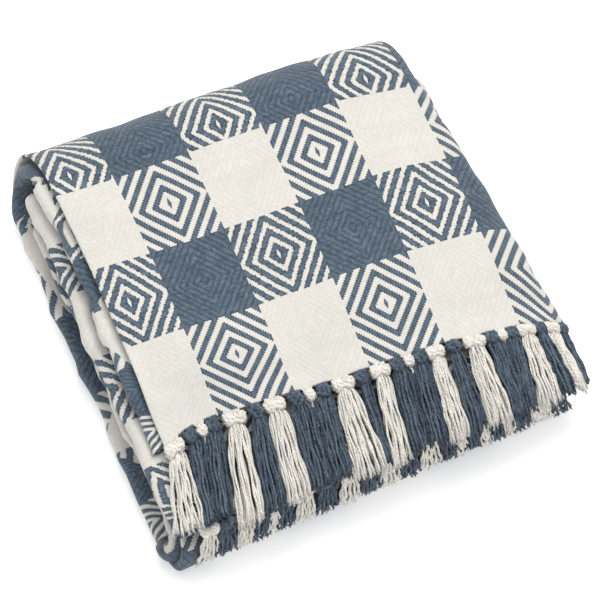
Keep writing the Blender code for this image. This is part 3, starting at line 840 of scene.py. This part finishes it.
class Yarns:
    """Collects the yarns of one tassel as tubes in one mesh."""

    def __init__(self):
        self.points = []
        self.faces = []
        self.uvs = []
        self.count = 0
        self.strand = 0

    def add(self, path, radius, sides=6, taper=0.35):
        """A tube round a path; radius is one number or one for each place."""
        path = np.array(path, dtype=float)
        total = len(path)
        radii = np.broadcast_to(np.array(radius, dtype=float), (total,))
        tangent = np.gradient(path, axis=0)
        tangent /= np.maximum(np.linalg.norm(tangent, axis=1, keepdims=True), 1e-12)
        sideways = self.sideways(tangent)
        other = np.cross(tangent, sideways)
        angle = 2.0 * math.pi * np.arange(sides) / sides
        off = sideways[:, None] * np.cos(angle)[:, None] + other[:, None] * np.sin(angle)[:, None]
        tube = path[:, None] + off * radii[:, None, None]
        self.points.append(tube.reshape(-1, 3))
        self.points.append((path[0] - tangent[0] * radii[0] * taper)[None])
        self.points.append((path[-1] + tangent[-1] * radii[-1] * taper)[None])
        lengths = np.concatenate(([0.0], np.cumsum(np.linalg.norm(np.diff(path, axis=0), axis=1))))
        along = (lengths * MAP_PER_METRE + MAP_PER_STRAND * self.strand).tolist()
        self.add_sides(along, sides)
        self.add_ends(along, sides)
        self.count += total * sides + 2
        self.strand += 1

    def sideways(self, tangent):
        """A direction square to the path at each place, turning as little as it can."""
        side = np.cross(tangent[0], (0.31, 0.52, 0.79))
        sideways = np.zeros(tangent.shape)
        for place in range(len(tangent)):
            side = side - tangent[place] * side.dot(tangent[place])
            side = side / max(math.sqrt(side.dot(side)), 1e-12)
            sideways[place] = side
        return sideways

    def add_sides(self, along, sides):
        """The faces round the tube, with their places on the yarn's map."""
        share = [corner / sides for corner in range(sides + 1)]
        for place in range(len(along) - 1):
            low, high = along[place], along[place + 1]
            row = self.count + place * sides
            for corner in range(sides):
                after = (corner + 1) % sides
                self.faces.append((row + corner, row + after, row + sides + after, row + sides + corner))
                self.uvs += (share[corner], low, share[corner + 1], low,
                             share[corner + 1], high, share[corner], high)

    def add_ends(self, along, sides):
        """The faces that close the tube's two ends."""
        first = self.count
        last = first + (len(along) - 1) * sides
        start, end = last + sides, last + sides + 1
        share = [corner / sides for corner in range(sides + 1)]
        for corner in range(sides):
            after = (corner + 1) % sides
            self.faces.append((first + after, first + corner, start))
            self.faces.append((last + corner, last + after, end))
            self.uvs += (share[corner + 1], along[0], share[corner], along[0], 0.5, along[0])
            self.uvs += (share[corner], along[-1], share[corner + 1], along[-1], 0.5, along[-1])

    def finish(self, name, material):
        """The tassel as one object, kept just above the floor."""
        points = np.vstack(self.points)
        points[:, 2] = np.maximum(points[:, 2], 0.0003)
        mesh = bpy.data.meshes.new(name)
        mesh.from_pydata(points.tolist(), [], self.faces)
        layer = mesh.uv_layers.new(name="yarn")
        layer.data.foreach_set("uv", self.uvs)
        mesh.polygons.foreach_set("use_smooth", [True] * len(mesh.polygons))
        mesh.materials.append(material)
        mesh.update()
        item = bpy.data.objects.new(name, mesh)
        bpy.context.scene.collection.objects.link(item)
        return item


def make_yarn_material(name, dark, light):
    """Plied cotton yarn: slanting plies along each strand, painted shade in the crevices between the
    plies, soft loose fibres.
    """
    n = Nodes(name)
    uv = n.parts(n.uv("yarn"))
    around, along = uv[0], uv[1]
    strand = n.math("FLOOR", n.math("DIVIDE", n.plus(along, 0.5), MAP_PER_STRAND))
    start = n.times(n.chance(n.plus(strand, 0.5)), 7.0)
    slant = n.plus(n.times(along, 11.0), n.times(around, 2.0))
    slant = n.plus(slant, start)
    ply = n.math("ABSOLUTE", n.math("SINE", n.times(slant, math.pi)))
    fibre_place = n.vector(n.times(slant, 3.0), n.times(along, 9.0), strand)
    fibre = n.noise(fibre_place, 1.0, 4.0, 0.7)
    patch = n.noise(n.place(), 260.0, 3.0, 0.6)
    tone = n.plus(n.times(n.chance(strand), 0.40), n.times(fibre, 0.75))
    tone = n.plus(tone, n.times(n.minus(patch, 0.5), 1.3))
    tone = n.limit(n.minus(tone, 0.08))
    # Painted shade: the yarn darker in the crevices between its plies
    depth = n.times_plus(n.math("SQRT", ply), 0.24, 0.80)
    n.put(n.shader.inputs["Base Color"], n.darken(n.mix(tone, dark, light), depth))
    normal = n.bump(n.noise(n.place(), 1500.0, 3.0, 0.7), 0.0006, 0.7)
    n.put(n.shader.inputs["Normal"], n.bump(ply, 0.0008, 0.6, normal))
    n.shader.inputs["Roughness"].default_value = 0.95
    n.shader.inputs["Specular IOR Level"].default_value = 0.15
    n.shader.inputs["Sheen Weight"].default_value = 0.08
    n.shader.inputs["Sheen Roughness"].default_value = 0.5
    return n.material


def with_stack(row, spots):
    """The places of one row's yarns, moved as the soft stack sags and leans there."""
    return settle(spots[:, 0], spots[:, 1], spots[:, 2], row["top_share"])


def add_core(yarns, row, centre, wide, high):
    """The round inside of a knot's ball, lying along the cloth's edge."""
    core, radii = [], []
    for step in range(7):
        part = -1.0 + step / 3.0
        core.append((centre[0] + part * wide * 0.95, centre[1], centre[2]))
        radii.append(max(0.0004, high * 0.98 * math.sqrt(max(0.0, 1.0 - part * part))))
    yarns.add(with_stack(row, np.array(core)), radii, 10, 0.1)


def ring_places(lean, shift, ply, swell):
    """One ply's ring round a ball one unit wide, at a slant and off its middle."""
    way = np.array((math.cos(lean), math.sin(lean) * 0.85, math.sin(lean) * 0.35))
    way = way / np.linalg.norm(way)
    first = np.cross(way, (0.0, 0.35, 1.0))
    first = first / np.linalg.norm(first)
    second = np.cross(way, first)
    ring = math.sqrt(max(0.05, 1.0 - shift * shift * 0.85))
    angle = np.linspace(0.0, 2.0 * math.pi, 23)
    along = shift + 0.10 * np.sin(angle + ply)
    round_way = first * np.cos(angle)[:, None] + second * np.sin(angle)[:, None]
    return way * along[:, None] + round_way * ring * swell


def add_ball(yarns, row, centre, wide, high, tilt, chance):
    """One ball of an overhand knot: two turns of three plies wound over a core."""
    add_core(yarns, row, centre, wide, high)
    for turn in range(2):
        lean = tilt + (turn - 0.5) * 1.30 + chance.uniform(-0.15, 0.15)
        for ply in range(3):
            shift = (ply - 1.0) * 0.56 + chance.uniform(-0.06, 0.06)
            spots = ring_places(lean, shift, ply, 0.88 + 0.07 * turn)
            spots = spots * np.array((wide * 0.94, high, high * 0.92)) + np.array(centre)
            yarns.add(with_stack(row, spots), 0.00205 + 0.0002 * math.sin(ply + turn), 8)


def add_knot(yarns, row, knot, cream, chance):
    """The bundle from the edge to its overhand knot, and the knot itself, which
    shows two balls on the larger cream tassels and one on the others."""
    x, size = knot["x"], knot["size"]
    edge_y, edge_z = row["edge_y"], row["edge_z"]
    count = max(5, int(round((knot["to"] - knot["from"]) / END_STEP)))
    for number in range(count):
        share = number / (count - 1)
        from_x = blend(knot["from"], knot["to"], share) + chance.uniform(-0.0003, 0.0003)
        near_x = x + (share - 0.5) * 0.0044 * size
        high = chance.uniform(0.0, 0.0008)
        path = smooth_path([(from_x, edge_y + 0.0007, edge_z + 0.0001),
                            (from_x, edge_y - 0.0008, edge_z + 0.0004 + high),
                            (blend(from_x, near_x, 0.45), edge_y - 0.0034, edge_z + 0.0009 + high),
                            (near_x, row["knot_y"] + 0.0012, row["knot_z"] + 0.0012)], 9)
        yarns.add(with_stack(row, path), END_RADIUS, 6)
    tilt = chance.uniform(-0.5, 0.5)
    if cream and size > 0.7:
        for hand in (-1.0, 1.0):
            centre = (x + hand * 0.0052 * size, row["knot_y"] + hand * tilt * 0.0012, row["knot_z"])
            add_ball(yarns, row, centre, 0.0059 * size, 0.0062, hand * 0.5 + tilt, chance)
    else:
        centre = (x, row["knot_y"], row["knot_z"])
        wide, high = 0.0080 * (0.3 + 0.7 * size), 0.0071 * (0.6 + 0.4 * size)
        add_ball(yarns, row, centre, wide, high, tilt, chance)


def drape_place(row, share):
    """How far forward and how high the row's drape lies at a share of its length."""
    shares = [point["share"] for point in row["drape"]]
    return [float(np.interp(share, shares, [point[axis] for point in row["drape"]]))
            for axis in ("y", "z")]


def bundle_widths(knot):
    """The middle and the half width of a bundle, below its knot and at its tips."""
    root_half = (0.0064 * knot["size"] + 0.0004) * float(ease((knot["size"] - 0.35) / 0.35))
    return {
        "root_half": knot.get("root", root_half), "root_middle": knot["x"] + knot.get("toward", 0.0),
        "tip_half": 0.5 * (knot["right"] - knot["left"]) + 0.0004,
        "tip_middle": 0.5 * (knot["right"] + knot["left"]),
    }


def strand_points(row, knot, widths, strand):
    """The places that one strand passes, from inside its knot to its tip."""
    across, up, phase = strand["across"], strand["up"], strand["phase"]
    points = [(knot["x"] + across * 0.003, row["knot_y"], row["knot_z"] + up * 0.001)]
    for part in (0.04, 0.16, 0.30, 0.44, 0.57, 0.68, 0.77, 0.86, 0.93, 1.0):
        place = part * strand["last"]
        y, z = drape_place(row, place)
        half = blend(widths["root_half"], widths["tip_half"], part ** 0.5)
        gathered = blend(across, strand["lock"], strand["drawn"] * math.sin(2.6 * part))
        x = blend(widths["root_middle"], widths["tip_middle"], part) + gathered * half
        x += strand["sway"] * math.sin(4.0 * part + phase) * part
        x += 0.0009 * math.sin(13.0 * part + 2.0 * phase)
        lift = (up + row["raised"]) * row["deep"] * (0.75 + 0.25 * part)
        lift += knot["lift"] * min(1.0, 0.4 + part)
        lift += 0.0009 * math.sin(11.0 * part + phase)
        ahead_y, ahead_z = drape_place(row, min(1.0, place + 0.06))
        slope_y, slope_z = ahead_y - y, ahead_z - z
        size = math.hypot(slope_y, slope_z) + 1e-6
        points.append((x, y + lift * slope_z / size, z - lift * slope_y / size))
    return points


def fray_tip(yarns, spots, chance):
    """A few loose fibres at a strand's end."""
    tip, before = spots[-1], spots[-3]
    way = (tip - before) / max(np.linalg.norm(tip - before), 1e-9)
    for fibre in range(5):
        off = np.array([chance.uniform(-1, 1), chance.uniform(-1, 1), chance.uniform(-0.6, 0.6)])
        reach = chance.uniform(0.0010, 0.0040)
        middle = tip + way * reach * 0.5 + off * 0.0010
        end = tip + way * reach + off * 0.0021
        yarns.add([tip - way * 0.0015 + off * 0.0006, middle, end], [0.00062, 0.00055, 0.00034], 3)


def add_strands(yarns, row, knot, chance):
    """The loose strands below the knot, over what lies beneath, to frayed tips.
    They fill a round bundle evenly and are drawn together into five locks."""
    widths = bundle_widths(knot)
    room = math.sqrt((widths["tip_half"] + widths["root_half"]) / 0.0215)
    count = max(7, int(round(row["strands"] * min(1.2, room))))
    locks = [-0.80 + 0.40 * spot + chance.uniform(-0.12, 0.12) for spot in range(5)]
    steps = np.linspace(0.0, 1.0, row["sections"])
    for number in range(count):
        turn = number * EVEN_TURN + 0.4
        out = math.sqrt((number + 0.5) / count)
        across, up = out * math.cos(turn), out * math.sin(turn)
        strand = {
            "across": across, "up": up, "lock": min(locks, key=lambda spot: abs(spot - across)),
            "drawn": chance.uniform(0.25, 0.75),
            "last": knot["reach"] * (1.0 - 0.065 * chance.random()),
            "sway": chance.uniform(-0.0011, 0.0011),
            "phase": chance.uniform(0.0, 6.28),
        }
        spots = with_stack(row, smooth_path(strand_points(row, knot, widths, strand), row["sections"]))
        radii = YARN_RADIUS * (1.0 + 0.14 * np.sin(steps * 31.0 + strand["phase"]) + 0.10 * steps)
        radii[0] *= 0.8
        yarns.add(spots, radii, row["sides"])
        fray_tip(yarns, spots, chance)


def make_tassels(kind, knots, row, seed):
    """One row of tassels, each its own piece in the place of its solid."""
    borders = [0.5 * (one["x"] + other["x"]) for one, other in zip(knots[:-1], knots[1:])]
    borders = [knots[0]["x"] - 0.0095] + borders + [knots[-1]["x"] + 0.0065]
    for number, place in enumerate(knots):
        knot = dict(place)
        spread = 0.0026 + 0.0048 * knot["size"]
        knot["from"] = max(borders[number] + 0.0008, knot["x"] - spread)
        knot["to"] = min(borders[number + 1] - 0.0008, knot["x"] + spread)
        chance = random.Random(seed + number)
        shade = "cream" if number % 2 == 0 else "blue"
        node = kind + "_" + shade + "_" + str(number + 1).zfill(2)
        yarns = Yarns()
        add_knot(yarns, row, knot, shade == "cream", chance)
        add_strands(yarns, row, knot, chance)
        item = yarns.finish("strands_" + node, yarn_materials[shade])
        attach(item, "root")
        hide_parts(node)


def lower_knots():
    """The lower tassels, whose tips lean left at the edge's left end and right at
    its right end."""
    rows = []
    for number, knot in enumerate(LOWER_KNOTS):
        share = number / (len(LOWER_KNOTS) - 1)
        lean = blend(0.0030, -0.0080, share)
        half = 0.0140 * (0.15 + 0.85 * knot["size"])
        rows.append({"x": knot["x"], "size": knot["size"], "reach": 0.80, "lift": 0.0,
                     "left": knot["x"] - lean - half, "right": knot["x"] - lean + half})
    return rows


yarn_materials = {
    "cream": make_yarn_material("cream_cotton_yarn", *CREAM_YARN),
    "blue": make_yarn_material("blue_cotton_yarn", *BLUE_YARN),
}
make_tassels("tassel_upper", UPPER_KNOTS, UPPER_ROW, 100)
make_tassels("tassel_lower", lower_knots(), LOWER_ROW, 200)
